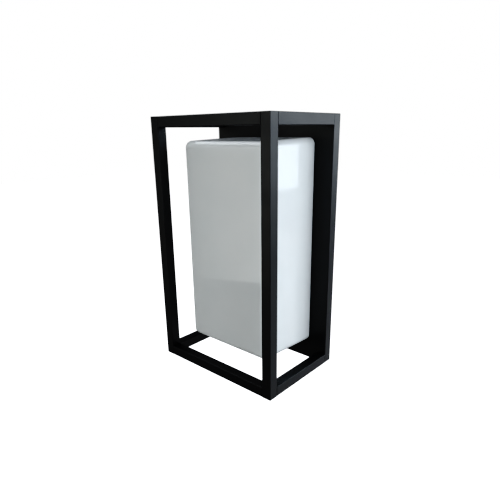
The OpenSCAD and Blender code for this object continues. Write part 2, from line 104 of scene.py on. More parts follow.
def linear(hex_colour):
    """The linear RGBA of an sRGB hex colour."""
    parts = [int(hex_colour[i:i + 2], 16) / 255 for i in (1, 3, 5)]
    return [c / 12.92 if c <= 0.04045 else ((c + 0.055) / 1.055) ** 2.4 for c in parts] + [1.0]


def add(tree, kind, settings=None, links=None):
    """Adds a shader node, sets its properties or sockets, and links its inputs to other sockets."""
    made = tree.nodes.new(kind)
    for key, value in (settings or {}).items():
        if isinstance(key, str) and hasattr(made, key):
            setattr(made, key, value)
        else:
            made.inputs[key].default_value = value
    for key, socket in (links or {}).items():
        tree.links.new(socket, made.inputs[key])
    return made


def new_material(name):
    """A node material with its Principled shader, its tree, and the Object coordinates socket."""
    material = bpy.data.materials.new(name)
    material.use_nodes = True
    tree = material.node_tree
    shader = tree.nodes["Principled BSDF"]
    place = add(tree, "ShaderNodeTexCoord").outputs["Object"]
    return material, tree, shader, place


def vary(tree, shader, tint, colours, sheen, gloss):
    """Lets the base colour follow the pattern tint, from the first colour where it is low to the
    second where it is high, and the roughness follow the pattern sheen in the same way."""
    low, high = [linear(colour) for colour in colours]
    share = add(tree, "ShaderNodeMapRange", {"From Min": NOISE_LOW, "From Max": NOISE_HIGH},
                {"Value": tint})
    colour = add(tree, "ShaderNodeMix", {"data_type": "RGBA", MIX_A: low, MIX_B: high},
                 {0: share.outputs["Result"]})
    tree.links.new(colour.outputs[MIX_RESULT], shader.inputs["Base Color"])
    shine = add(tree, "ShaderNodeMapRange", {"From Min": NOISE_LOW, "From Max": NOISE_HIGH,
                                             "To Min": gloss[0], "To Max": gloss[1]},
                {"Value": sheen})
    tree.links.new(shine.outputs["Result"], shader.inputs["Roughness"])


def grid_piece(name, rings, wrap=False, places=((0, 0, 0),)):
    """A mesh from rings of points, shape (rings, points, 3). Each ring closes on itself and quads join
    ring i to ring i + 1. A fan to the ring's middle closes each end, or wrap joins the last ring to
    the first instead. The whole shape is repeated, moved by each of the places."""
    count, around = rings.shape[:2]
    points = rings.reshape(-1, 3)
    i, j = np.meshgrid(np.arange(count if wrap else count - 1), np.arange(around), indexing="ij")
    a = i * around + j
    b = i * around + (j + 1) % around
    c = ((i + 1) % count) * around + (j + 1) % around
    d = ((i + 1) % count) * around + j
    quads = np.stack([a, b, c, d], axis=-1).reshape(-1, 4)
    fans = np.zeros((0, 3), int)
    if not wrap:
        points = np.vstack([points, rings[0].mean(axis=0), rings[-1].mean(axis=0)])
        turn = np.arange(around)
        following = (turn + 1) % around
        first_middle = np.full(around, count * around)
        last = (count - 1) * around
        fans = np.vstack([np.stack([following, turn, first_middle], -1),
                          np.stack([last + turn, last + following, first_middle + 1], -1)])
    all_points = (points[None] + np.array(places, float)[:, None]).reshape(-1, 3)
    faces = []
    for k in range(len(places)):
        faces += (quads + k * len(points)).tolist() + (fans + k * len(points)).tolist()
    mesh = bpy.data.meshes.new(name)
    mesh.from_pydata(all_points.tolist(), [], faces)
    mesh.polygons.foreach_set("use_smooth", np.ones(len(mesh.polygons), bool))
    piece = bpy.data.objects.new(name, mesh)
    bpy.context.collection.objects.link(piece)
    return piece


def outward(piece):
    """Turns every face of a closed piece outwards."""
    bpy.context.view_layer.objects.active = piece
    bpy.ops.object.select_all(action="DESELECT")
    piece.select_set(True)
    bpy.ops.object.mode_set(mode="EDIT")
    bpy.ops.mesh.select_all(action="SELECT")
    bpy.ops.mesh.remove_doubles(threshold=1e-7)
    bpy.ops.mesh.normals_make_consistent(inside=False)
    bpy.ops.object.mode_set(mode="OBJECT")
    return piece


def finish_piece(piece, material, body, slot, *replaced):
    """Gives a piece its material and body, and hides the CAD nodes that it stands for; slot is not used.
    Where it has no bevel, its normals follow its larger faces, so that flat faces stay flat to the light."""
    if not piece.modifiers:
        flat = piece.modifiers.new("flat", "WEIGHTED_NORMAL")
        flat.mode, flat.weight, flat.keep_sharp = "FACE_AREA", 100, True
    piece.data.materials.clear()
    piece.data.materials.append(material)
    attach(piece, body)
    if replaced:
        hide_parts(*replaced)
    return piece


def rounded_outline(half_a, half_b, radius, arc_steps=4, side_steps=1):
    """A rounded rectangle as points (n, 2), anticlockwise. Each corner is a quarter circle
    centre + radius (cos t, sin t), with t through 90 degrees, and each side is cut in side_steps."""
    corners = []
    signs = [(1, 1), (-1, 1), (-1, -1), (1, -1)]
    for quarter, (sa, sb) in enumerate(signs):
        t = math.pi / 2 * (quarter + np.linspace(0, 1, arc_steps + 1))
        centre = np.array([sa * (half_a - radius), sb * (half_b - radius)])
        corners.append(centre + radius * np.stack([np.cos(t), np.sin(t)], -1))
    outline = []
    for k, corner in enumerate(corners):
        outline.append(corner)
        share = np.linspace(0, 1, side_steps + 1)[1:-1, None]
        following = corners[(k + 1) % 4][0]
        outline.append(corner[-1] * (1 - share) + following * share)
    return np.vstack(outline)


def square_tube(name, low, high, ease):
    """A square tube along the longest side of its box. The outside and the inside are rounded
    squares carried along the length, and at each end the outside turns in by a small ease."""
    low, high = np.array(low), np.array(high)
    size = high - low
    along = int(np.argmax(size))
    across = [(along + 1) % 3, (along + 2) % 3]
    middle = (low + high) / 2
    half = size[across[0]] / 2
    half_length = size[along] / 2
    quarter = np.linspace(0, math.pi / 2, 4)
    turn_in = ease * (1 - np.sin(quarter))
    step = ease * (1 - np.cos(quarter))
    stations = [(-half_length + s, half - t, BAR_EDGE) for s, t in zip(step, turn_in)]
    stations += [(half_length - s, half - t, BAR_EDGE) for s, t in zip(step[::-1], turn_in[::-1])]
    bore = half - BAR_WALL
    stations += [(half_length, bore, BAR_EDGE / 2), (-half_length, bore, BAR_EDGE / 2)]
    outlines = np.array([rounded_outline(reach, reach, radius) for _, reach, radius in stations])
    rings = np.zeros(outlines.shape[:2] + (3,))
    rings[..., along] = middle[along] + np.array([station[:1] for station in stations])
    rings[..., across[0]] = middle[across[0]] + outlines[..., 0]
    rings[..., across[1]] = middle[across[1]] + outlines[..., 1]
    return outward(grid_piece(name, rings, wrap=True))


GRAIN_SHARE = 0.35


def powder_coat():
    """Polyester powder coat, sprayed and baked: nearly black and satin, with a fine orange peel of
    about 1 mm that breaks up reflections, a grain of 0.3 mm in it, and a slightly uneven gloss. A
    texture's scale is in cells per metre, so 0.9 / MM is nine cells in ten millimetres."""
    material, tree, shader, place = new_material("black_powder_coat")
    peel = add(tree, "ShaderNodeTexNoise", {"Scale": 0.9 / MM, "Detail": 3.0}, {"Vector": place})
    grain = add(tree, "ShaderNodeTexNoise", {"Scale": 3.5 / MM, "Detail": 1.0}, {"Vector": place})
    cloud = add(tree, "ShaderNodeTexNoise", {"Scale": 0.035 / MM, "Detail": 2.0}, {"Vector": place})
    vary(tree, shader, cloud.outputs["Fac"], ("#141416", "#19191b"),
         cloud.outputs["Fac"], (0.40, 0.48))
    shader.inputs["Specular IOR Level"].default_value = 0.6
    height = add(tree, "ShaderNodeMath", {"operation": "MULTIPLY_ADD", 1: GRAIN_SHARE},
                 {0: grain.outputs["Fac"], 2: peel.outputs["Fac"]})
    bump = add(tree, "ShaderNodeBump", {"Strength": 0.25, "Distance": 0.06 * MM},
               {"Height": height.outputs["Value"]})
    tree.links.new(bump.outputs["Normal"], shader.inputs["Normal"])
    return material


coat = powder_coat()
POSTS = ["front_post_left", "front_post_right"]
RAILS = ["front_rail_top", "front_rail_bottom", "side_rail_top_left", "side_rail_top_right",
         "side_rail_bottom_left", "side_rail_bottom_right"]
for bar_name in POSTS + RAILS:
    bar_low, bar_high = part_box(bar_name)
    bar = square_tube(bar_name + "_tube", bar_low, bar_high, JOINT_EASE)
    finish_piece(bar, coat, "lantern", "powder_coat_black", bar_name)

# ---- Back box -------------------------------------------------------------
# A shallow tray pressed from 1.6 mm aluminium sheet, open to the wall, its corners welded and ground.
# It is powder-coated with the cage, and its front sheet is the dark ground behind the diffuser.
BOX_SHEET = 1.6 * MM
BOX_EDGE = 0.9 * MM
BOX_CORNER = 1 * MM
INNER_CORNER = 0.2 * MM
RIM_CORNER = 0.4 * MM
RIM_EDGE = 0.3 * MM
FLAT_INSET = 1 * MM
SHARP = 0.01 * MM


def nested_rings(stations, across_steps=1, arc_steps=6):
    """Rings of rounded rectangles in the XZ plane. Each station is (half width, half height, corner
    radius, y), and the rings are joined in order, so the stations trace the wall's section."""
    rings = []
    for half_x, half_z, radius, y in stations:
        outline = rounded_outline(half_x, half_z, max(radius, SHARP), arc_steps, across_steps)
        rings.append(np.stack([outline[:, 0], np.full(len(outline), y), outline[:, 1]], -1))
    return np.array(rings)


def arc_stations(half_x, half_z, corner, centre_y, radius, start, stop, steps):
    """Stations round an edge: half sizes grow by radius cos t and y by radius sin t, from angle
    start to stop in degrees. The corner radius grows with the half sizes."""
    made = []
    for t in np.radians(np.linspace(start, stop, steps)):
        out = radius * math.cos(t)
        made.append((half_x + out, half_z + out, corner + out, centre_y + radius * math.sin(t)))
    return made


box_low, box_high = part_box("back_box")
box_half_x = (box_high.x - box_low.x) / 2
box_half_z = (box_high.z - box_low.z) / 2
box_front = box_low.y
cavity_y = box_front + BOX_SHEET
inner_x, inner_z = box_half_x - BOX_SHEET, box_half_z - BOX_SHEET
core_x, core_z = box_half_x - BOX_EDGE, box_half_z - BOX_EDGE
rim_x, rim_z = box_half_x - RIM_EDGE, box_half_z - RIM_EDGE
box_stations = [(inner_x - FLAT_INSET, inner_z - FLAT_INSET, INNER_CORNER, cavity_y),
                (inner_x, inner_z, INNER_CORNER, cavity_y),
                (inner_x, inner_z, INNER_CORNER, -RIM_EDGE),
                (inner_x + RIM_EDGE, inner_z + RIM_EDGE, RIM_CORNER, 0.0)]
box_stations += arc_stations(rim_x, rim_z, BOX_CORNER - RIM_EDGE, -RIM_EDGE, RIM_EDGE, 90, 0, 4)
box_stations += arc_stations(core_x, core_z, BOX_CORNER - BOX_EDGE, box_front + BOX_EDGE, BOX_EDGE,
                             0, -90, 7)
box_stations += [(core_x - FLAT_INSET, core_z - FLAT_INSET, BOX_CORNER - BOX_EDGE, box_front)]
back_box = outward(grid_piece("back_box_pressed", nested_rings(box_stations)))


def turned(name, profile, centre, axis, around=48, reach=None, **options):
    """A turned shape: a profile of (radius, distance along) carried round an axis. A point is at
    radius (cos t, sin t) across the axis; reach gives the radius from (radius, along, t), for a
    thread or a hexagon."""
    profile = np.array(profile, float)
    t = np.linspace(0, 2 * math.pi, around, endpoint=False)[None]
    radius, along = profile[:, :1], profile[:, 1:]
    radius = reach(radius, along, t) if reach else radius * np.ones_like(t)
    across = (0, 2) if axis == "Y" else (0, 1)
    rings = np.zeros(radius.shape + (3,))
    rings[..., across[0]] = centre[0] + radius * np.cos(t)
    rings[..., across[1]] = centre[across[1]] + radius * np.sin(t)
    length = 1 if axis == "Y" else 2
    rings[..., length] = centre[length] + along
    return outward(grid_piece(name, rings, **options))


DRAIN_R = 2.5 * MM
DRILL_BELOW, DRILL_ABOVE = -2 * MM, 3 * MM
drill = turned("drain_drill", [(DRAIN_R, DRILL_BELOW), (DRAIN_R, DRILL_ABOVE)],
               (0, box_front / 2, box_low.z), "Z", around=32)
cut = back_box.modifiers.new("drain", "BOOLEAN")
cut.operation, cut.solver, cut.object = "DIFFERENCE", "EXACT", drill
bpy.context.view_layer.objects.active = back_box
bpy.ops.object.modifier_apply(modifier="drain")
bpy.data.objects.remove(drill)
finish_piece(back_box, coat, "lantern", "powder_coat_black", "back_box")

# ---- Diffuser -------------------------------------------------------------
# An opal acrylic box, injection-moulded with about 2 degrees of draft, 3 mm thick and glossy, with
# round edges. Its open back stands on a rubber ring and it is pushed over four spring clips.
WALL = 3 * MM
EDGE = 8 * MM
DRAFT = 2.7 * MM
dif_low, dif_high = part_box("diffuser")
dif_x = (dif_high.x - dif_low.x) / 2
dif_z = (dif_high.z - dif_low.z) / 2
dif_rim, dif_front = dif_high.y, dif_low.y
round_y = dif_front + EDGE
front_x, front_z = dif_x - DRAFT - EDGE, dif_z - DRAFT - EDGE
lean = math.degrees(math.atan2(DRAFT, dif_rim - round_y))
lip = 0.8 * MM
flat_x, flat_z = front_x - 2 * FLAT_INSET, front_z - 2 * FLAT_INSET
stations = [(flat_x, flat_z, 0, dif_front + WALL)]
stations += arc_stations(front_x, front_z, 0, round_y, EDGE - WALL, -90, -lean, 8)
stations += [(dif_x - WALL, dif_z - WALL, EDGE - WALL, dif_rim - lip)]
stations += [(dif_x - WALL + lip, dif_z - WALL + lip, EDGE - WALL + lip, dif_rim)]
stations += arc_stations(dif_x - lip, dif_z - lip, EDGE - lip, dif_rim - lip, lip, 90, -lean, 5)
stations += arc_stations(front_x, front_z, 0, round_y, EDGE, -lean, -90, 14)
stations += [(flat_x, flat_z, 0, dif_front)]
diffuser_rings = nested_rings(stations, across_steps=12, arc_steps=12)
diffuser = outward(grid_piece("diffuser_opal_box", diffuser_rings))


def opal_acrylic():
    """Opal acrylic: milky and glossy, with a cool white body that light soaks into for about 8 mm,
    faint marks of handling 17 mm across, and a moulded surface with waves of 45 mm, so that
    reflections bend a little."""
    material, tree, shader, place = new_material("opal_acrylic")
    cloud = add(tree, "ShaderNodeTexNoise", {"Scale": 0.018 / MM, "Detail": 2.0}, {"Vector": place})
    handling = add(tree, "ShaderNodeTexNoise", {"Scale": 0.06 / MM, "Detail": 4.0},
                   {"Vector": place})
    vary(tree, shader, cloud.outputs["Fac"], ("#e6edf0", "#eaf0f3"),
         handling.outputs["Fac"], (0.02, 0.05))
    shader.inputs["IOR"].default_value = 1.49
    shader.inputs["Subsurface Weight"].default_value = 1.0
    shader.inputs["Subsurface Radius"].default_value = (1, 1, 1)
    shader.inputs["Subsurface Scale"].default_value = 8 * MM
    wave = add(tree, "ShaderNodeTexNoise", {"Scale": 0.022 / MM, "Detail": 1.0}, {"Vector": place})
    bump = add(tree, "ShaderNodeBump", {"Strength": 0.03, "Distance": 0.3 * MM},
               {"Height": wave.outputs["Fac"]})
    tree.links.new(bump.outputs["Normal"], shader.inputs["Normal"])
    return material


finish_piece(diffuser, opal_acrylic(), "diffuser", "opal_plastic", "diffuser")

# ---- End caps -------------------------------------------------------------
# Black polyamide caps pushed into both ends of each post, flush with the sawn tube. A fine grain from
# the mould leaves them duller than the coat around them.


def softened(node_name, piece_name, width, segments=2):
    """A copy of a CAD node whose sharp edges are rounded: doubles are merged, flat faces joined,
    and a bevel of the given width runs along every edge sharper than 40 degrees."""
    mesh = nodes[node_name].data.copy()
    mesh.name = piece_name
    piece = bpy.data.objects.new(piece_name, mesh)
    bpy.context.collection.objects.link(piece)
    bpy.context.view_layer.objects.active = piece
    bpy.ops.object.select_all(action="DESELECT")
    piece.select_set(True)
    bpy.ops.mesh.customdata_custom_splitnormals_clear()
    bpy.ops.object.mode_set(mode="EDIT")
    bpy.ops.mesh.select_all(action="SELECT")
    bpy.ops.mesh.remove_doubles(threshold=1e-6)
    bpy.ops.mesh.dissolve_limited(angle_limit=math.radians(0.5))
    bpy.ops.mesh.normals_make_consistent(inside=False)
    bpy.ops.object.mode_set(mode="OBJECT")
    mesh.polygons.foreach_set("use_smooth", np.ones(len(mesh.polygons), bool))
    edge = piece.modifiers.new("edge", "BEVEL")
    edge.width, edge.segments = width, segments
    edge.limit_method, edge.angle_limit = "ANGLE", math.radians(40)
    edge.harden_normals = True
    edge.miter_outer = "MITER_ARC"
    return piece


def surface(name, texture, colours, gloss, relief=0.0, stretch=(1, 1, 1), shading=None):
    """A material whose colour, gloss and relief follow one texture. texture is (node, output,
    settings), colours and gloss are the values at its low and high ends, relief is in metres, and
    stretch scales the coordinates, so a small value draws the pattern out along that axis."""
    material, tree, shader, place = new_material(name)
    kind, output, settings = texture
    spread = add(tree, "ShaderNodeMapping", {"Scale": stretch}, {"Vector": place})
    pattern = add(tree, kind, settings, {"Vector": spread.outputs["Vector"]}).outputs[output]
    vary(tree, shader, pattern, colours, pattern, gloss)
    if relief:
        bump = add(tree, "ShaderNodeBump", {"Strength": 0.5, "Distance": relief},
                   {"Height": pattern})
        tree.links.new(bump.outputs["Normal"], shader.inputs["Normal"])
    for key, value in (shading or {}).items():
        shader.inputs[key].default_value = value
    return material


# Moulded black polyamide: dull, with a spark-eroded grain of about 0.5 mm.
moulded_black = surface("moulded_black_polyamide",
                        ("ShaderNodeTexNoise", "Fac", {"Scale": 2.0 / MM, "Detail": 2.0}),
                        ("#161617", "#202022"), (0.5, 0.62), 0.04 * MM, shading={"IOR": 1.53})
caps = softened("post_end_caps", "post_end_caps_moulded", 0.3 * MM)
finish_piece(caps, moulded_black, "lantern", "powder_coat_black", "post_end_caps")

# ---- Cage screws and plugs ------------------------------------------------
# Tapped aluminium plugs are welded into the open ends of the four side rails. A pan-head M4 screw
# with a cross recess goes into each from inside the back box and holds the cage on.
SHEET_BACK = box_front + BOX_SHEET
PAN_R, PAN_H = 4 * MM, 2.4 * MM
M4_R, CAGE_SCREW_L = 2 * MM, 14 * MM
# The dome falls away to its rim, and the cross is cut into it: shares of the head's radius or height.
DOME_FALL = 0.72
CROSS_HALF_L, CROSS_HALF_W, CROSS_EASE = 0.52, 0.13, 0.06
CROSS_DEPTH, CROSS_TAPER = 0.9, 1.15
# The head's grid: points round it, rings from the innermost out, and the innermost ring's share.
CROSS_AROUND, CROSS_RINGS, CROSS_INNER = 64, 22, 0.03


def cross_screws(name, places, head_r, head_h, shank_r, shank_l, out):
    """Screws along Y with a domed head and a cross recess. Over the head, on a grid of radius and
    angle, height = head_h sqrt(1 - fall s^2) less the recess, which is a soft step of the distance
    from the two arms of the cross; then the shank narrows to its point. out is +1 where the head
    looks to +Y."""
    t = np.linspace(0, 2 * math.pi, CROSS_AROUND, endpoint=False)[None]
    s = np.linspace(CROSS_INNER, 1, CROSS_RINGS)[:, None]
    x, z = s * np.cos(t), s * np.sin(t)
    along_x = np.clip((CROSS_HALF_W - np.abs(z)) / CROSS_EASE, 0, 1) * (np.abs(x) < CROSS_HALF_L)
    along_z = np.clip((CROSS_HALF_W - np.abs(x)) / CROSS_EASE, 0, 1) * (np.abs(z) < CROSS_HALF_L)
    deep = np.clip(CROSS_TAPER - s / CROSS_HALF_L, 0, 1) * CROSS_DEPTH
    height = head_h * (np.sqrt(1 - DOME_FALL * s * s) - np.maximum(along_x, along_z) * deep)
    head = np.stack([x * head_r, out * height * np.ones_like(t), z * head_r], -1)
    tail = np.array([(head_r, 0), (shank_r, 0), (shank_r, -shank_l + shank_r / 2),
                     (shank_r / 2, -shank_l)])
    radius, along = tail[:, :1], tail[:, 1:]
    shank = np.stack([radius * np.cos(t), out * along * np.ones_like(t), radius * np.sin(t)], -1)
    return outward(grid_piece(name, np.concatenate([head, shank]), places=places))


# Zinc-plated steel: bright, with a faint blue and straw tint that drifts over a few millimetres.
zinc = surface("zinc_plated_steel", ("ShaderNodeTexNoise", "Fac", {"Scale": 0.3 / MM, "Detail": 3.0}),
               ("#b9bcc2", "#cfcdc4"), (0.24, 0.36), 0.01 * MM, shading={"Metallic": 1.0})
# Mill-finish aluminium: soft grey, with fine die lines of about 0.3 mm drawn along the extrusion.
mill_aluminium = surface("mill_aluminium",
                         ("ShaderNodeTexNoise", "Fac", {"Scale": 3.0 / MM, "Detail": 2.0}),
                         ("#b4b7bb", "#c9cbce"), (0.32, 0.46), 0.01 * MM, (1, 0.03, 1),
                         {"Metallic": 1.0})
BAR_HALF = 6 * MM
screw_x, screw_z = box_half_x - BAR_HALF, box_half_z - BAR_HALF
corners = [(sx * screw_x, SHEET_BACK, sz * screw_z) for sx in (-1, 1) for sz in (-1, 1)]
screws = cross_screws("cage_screws_pan", corners, PAN_R, PAN_H, M4_R, CAGE_SCREW_L, out=1)
finish_piece(screws, zinc, "lantern", "zinc_steel", "cage_screws")
plugs = softened("rail_plugs", "rail_plugs_tapped", 0.3 * MM)
finish_piece(plugs, mill_aluminium, "lantern", "mill_aluminium", "rail_plugs")

# ---- Wall seal and bracket ------------------------------------------------
# A ring of closed-cell foam seals the back box to the wall. The bracket is a strap of 2 mm steel,
# punched with two wall slots and a cable window, then hot-dip galvanised.

# Closed-cell foam: matt black skin, cut through cells of about 0.7 mm.
foam = surface("black_cell_foam", ("ShaderNodeTexVoronoi", "Distance", {"Scale": 1.4 / MM}),
               ("#101011", "#2b2b2d"), (0.95, 0.8), 0.3 * MM, shading={"Specular IOR Level": 0.25})
seal = softened("wall_seal", "wall_seal_foam", 0.6 * MM)
finish_piece(seal, foam, "lantern", "black_foam", "wall_seal")

# Hot-dip galvanised steel: frost-like spangles of about 5 mm, each with its own grey and gloss.
spangle = surface("galvanised_steel", ("ShaderNodeTexVoronoi", "Color", {"Scale": 0.19 / MM}),
                  ("#9aa1a6", "#b4babe"), (0.34, 0.48), 0.02 * MM, shading={"Metallic": 1.0})
bracket = softened("wall_bracket", "wall_bracket_strap", 0.35 * MM)
finish_piece(bracket, spangle, "lantern", "galvanised_steel", "wall_bracket")

# ---- Studs, washers and cap nuts ------------------------------------------
# Two M5 studs with a collar are pressed into the bracket and come through the box. A sealing washer
# and a domed cap nut on each hold the lantern on the wall.
STUD_R = 2.5 * MM
STUD_END = -21 * MM
COLLAR_R = 3.5 * MM
STRAP_FRONT = -2 * MM
M5_PITCH = 0.8 * MM
THREAD_DEPTH = 0.4 * MM
POINT_R, POINT_L = 0.75 * STUD_R, 0.6 * MM
COLLAR_H, COLLAR_EDGE = 1 * MM, 0.2 * MM
PLAIN_L, LEAD = 4 * MM, 0.1 * MM
STUD_Z = 112 * MM


def threaded(pitch, rise, start, stop, run_in, run_out):
    """The reach of a screw thread: radius plus rise times (1 + cos(2 pi along / pitch - t)) / 2,
    which grows from nothing over the length run_in and goes back to it over run_out. A cut thread
    has a negative rise."""
    def reach(radius, along, t):
        fade = np.clip((along - start) / run_in, 0, 1) * np.clip((stop - along) / run_out, 0, 1)
        return radius + rise * fade * (1 + np.cos(2 * math.pi * along / pitch - t)) / 2
    return reach


thread_start, thread_stop = STUD_END + POINT_L, STRAP_FRONT - PLAIN_L
collar_front = STRAP_FRONT - COLLAR_H
stud_profile = [(POINT_R, STUD_END), (STUD_R, thread_start)]
stud_profile += [(STUD_R, a) for a in np.linspace(thread_start + LEAD, thread_stop, 160)]
stud_profile += [(STUD_R, collar_front), (COLLAR_R - COLLAR_EDGE, collar_front),
                 (COLLAR_R, collar_front + COLLAR_EDGE), (COLLAR_R, STRAP_FRONT),
                 (STUD_R, STRAP_FRONT), (STUD_R, 0)]
stud_places = [(0, 0, -STUD_Z), (0, 0, STUD_Z)]
m5_thread = threaded(M5_PITCH, -THREAD_DEPTH, thread_start, thread_stop, M5_PITCH, M5_PITCH)
studs = turned("bracket_studs_threaded", stud_profile, (0, 0, 0), "Y", around=32, reach=m5_thread,
               places=stud_places)
finish_piece(studs, zinc, "lantern", "zinc_steel", "bracket_studs")

# EPDM rubber: black and matt, with a faint bloom in patches of 2 to 3 mm.
rubber = surface("epdm_rubber", ("ShaderNodeTexNoise", "Fac", {"Scale": 0.42 / MM, "Detail": 4.0}),
                 ("#131314", "#1f1f20"), (0.6, 0.75), 0.03 * MM, shading={"IOR": 1.52})
PLATE_T = 1 * MM
WASHER_R, WASHER_T, WASHER_EDGE = 5 * MM, 1.2 * MM, 0.3 * MM
PLATE_FACE = box_front - PLATE_T
NUT_SEAT = PLATE_FACE - WASHER_T
washer_profile = [(STUD_R, NUT_SEAT), (WASHER_R - WASHER_EDGE, NUT_SEAT),
                  (WASHER_R, NUT_SEAT + WASHER_EDGE), (WASHER_R, PLATE_FACE - WASHER_EDGE),
                  (WASHER_R - WASHER_EDGE, PLATE_FACE), (STUD_R, PLATE_FACE)]
washers = turned("stud_washers_rubber", washer_profile, (0, 0, 0), "Y", wrap=True,
                 places=stud_places)
finish_piece(washers, rubber, "lantern", "black_rubber", "stud_washers")

NUT_HALF_FLAT = 4 * MM
NUT_H = 5 * MM
NUT_FACE_BEVEL, NUT_TOP_BEVEL = 0.35 * MM, 0.45 * MM
NUT_STEP = 0.05 * MM
DOME_R = 3.6 * MM


def hexagon(radius, along, t):
    """A hexagon of half flat h where radius exceeds it: the reach is h / cos(u), with u the angle
    from the nearest flat, and the chamfer circle cuts the corners where it is smaller."""
    sixth = math.pi / 3
    from_flat = (t + sixth / 2) % sixth - sixth / 2
    return np.minimum(radius * np.ones_like(t), NUT_HALF_FLAT / np.cos(from_flat))


corner_r = NUT_HALF_FLAT / math.cos(math.pi / 6)
nut_profile = [(NUT_HALF_FLAT, 0), (corner_r, -NUT_FACE_BEVEL),
               (corner_r, -NUT_H + NUT_STEP + NUT_TOP_BEVEL),
               (NUT_HALF_FLAT, -NUT_H + NUT_STEP), (DOME_R, -NUT_H)]
nut_profile += [(DOME_R * math.cos(a), -NUT_H - DOME_R * math.sin(a))
                for a in np.radians(np.linspace(4, 88, 16))]
nuts = turned("cap_nuts_domed", nut_profile, (0, NUT_SEAT, 0), "Y", around=72, reach=hexagon,
              places=stud_places)
finish_piece(nuts, zinc, "lantern", "zinc_steel", "cap_nuts")

# ---- Cable grommet --------------------------------------------------------
# A black rubber grommet, snapped into the box and the reflector plate. The supply cable comes through
# its hole from the wall, and its two lips are round.
GROMMET_R = 10 * MM
GROMMET_NECK = 8 * MM
GROMMET_HOLE = 3.5 * MM
GROMMET_LIP = 2.4 * MM
GROMMET_EASE = 0.5 * MM
half_lip = GROMMET_LIP / 2
lip_turn = np.radians(np.linspace(-90, 90, 9))
lip_r = GROMMET_R - half_lip + half_lip * np.cos(lip_turn)
lip_y = half_lip * np.sin(lip_turn)
front_lip = np.stack([lip_r, PLATE_FACE - half_lip + lip_y], -1)
back_lip = np.stack([lip_r, SHEET_BACK + half_lip + lip_y], -1)
grommet_profile = [(GROMMET_HOLE + GROMMET_EASE, PLATE_FACE - GROMMET_LIP), *front_lip,
                   (GROMMET_NECK, PLATE_FACE), (GROMMET_NECK, SHEET_BACK), *back_lip,
                   (GROMMET_HOLE + GROMMET_EASE, SHEET_BACK + GROMMET_LIP),
                   (GROMMET_HOLE, SHEET_BACK + GROMMET_LIP - GROMMET_EASE),
                   (GROMMET_HOLE, PLATE_FACE - GROMMET_LIP + GROMMET_EASE)]
grommet = turned("cable_grommet_moulded", grommet_profile, (0, 0, 0), "Y", around=64, wrap=True)
finish_piece(grommet, rubber, "lantern", "black_rubber", "cable_grommet")

# ---- Reflector plate and rivets -------------------------------------------
# A 1 mm aluminium plate, stove-enamelled gloss white, throws the lamp's light forward. Four blind
# rivets hold it to the box and two more hold the lampholder's bracket.

# Stove enamel: gloss white, with a gentle orange peel of about 3 mm.
enamel = surface("white_stove_enamel", ("ShaderNodeTexNoise", "Fac", {"Scale": 0.33 / MM, "Detail": 2.0}),
                 ("#e6e6e1", "#efefeb"), (0.16, 0.26), 0.03 * MM, shading={"IOR": 1.52})
reflector = softened("reflector_plate", "reflector_plate_enamelled", 0.2 * MM)
finish_piece(reflector, enamel, "lantern", "white_enamel", "reflector_plate")

rivet_x, rivet_z = 48 * MM, 108.5 * MM
flange_x, flange_z = 9 * MM, -75 * MM
BRACKET_T = 1.5 * MM
FLANGE_FACE = PLATE_FACE - BRACKET_T
rivet_places = [(sx * rivet_x, PLATE_FACE, sz * rivet_z) for sx in (-1, 1) for sz in (-1, 1)]
rivet_places += [(sx * flange_x, FLANGE_FACE, flange_z) for sx in (-1, 1)]
RIVET_HEAD_R, RIVET_HEAD_H, RIVET_R = 3.2 * MM, 1.1 * MM, 1.6 * MM
# The pulled pin leaves a dimple in the head, and swells the blind end behind the sheet.
DIMPLE_R, DIMPLE_RIM_R, DIMPLE_FLOOR, DIMPLE_RIM = 0.7 * MM, 0.8 * MM, 0.55, 0.98
SWELL_R, SWELL_END_R = 1.4 * RIVET_R, 0.8 * RIVET_R
SWELL_START, SWELL_STOP, RIVET_END = 0.3 * MM, 1 * MM, 1.8 * MM
reach_back = SHEET_BACK - FLANGE_FACE
dome = np.radians(np.linspace(80, 12, 8))
rivet_profile = [(DIMPLE_R, -RIVET_HEAD_H * DIMPLE_FLOOR), (DIMPLE_RIM_R, -RIVET_HEAD_H * DIMPLE_RIM)]
rivet_profile += [(RIVET_HEAD_R * math.cos(a), -RIVET_HEAD_H * math.sin(a)) for a in dome]
rivet_profile += [(RIVET_HEAD_R, 0), (RIVET_R, 0), (RIVET_R, reach_back),
                  (SWELL_R, reach_back + SWELL_START), (SWELL_R, reach_back + SWELL_STOP),
                  (SWELL_END_R, reach_back + RIVET_END)]
rivets = turned("rivets_blind", rivet_profile, (0, 0, 0), "Y", around=32, places=rivet_places)
finish_piece(rivets, mill_aluminium, "lantern", "mill_aluminium", "rivets")

# ---- Diffuser clips and gasket --------------------------------------------
# Four leaves of rolled spring steel bear on the inside of the diffuser and hold it on by friction. A
# rubber lip on the box stands just inside its rim and keeps the rain out.

# Cold-rolled spring steel: grey, with rolling lines of about 0.2 mm along the leaf.
spring_steel = surface("rolled_spring_steel",
                       ("ShaderNodeTexNoise", "Fac", {"Scale": 4.0 / MM, "Detail": 2.0}),
                       ("#8c8e92", "#a9abae"), (0.2, 0.34), 0.008 * MM, (1, 0.04, 1),
                       {"Metallic": 1.0})
clips = softened("diffuser_clips", "diffuser_clips_sprung", 0.12 * MM, 1)
finish_piece(clips, spring_steel, "lantern", "spring_steel", "diffuser_clips")
gasket = softened("diffuser_gasket", "diffuser_gasket_rubber", 0.4 * MM)
finish_piece(gasket, rubber, "lantern", "black_rubber", "diffuser_gasket")

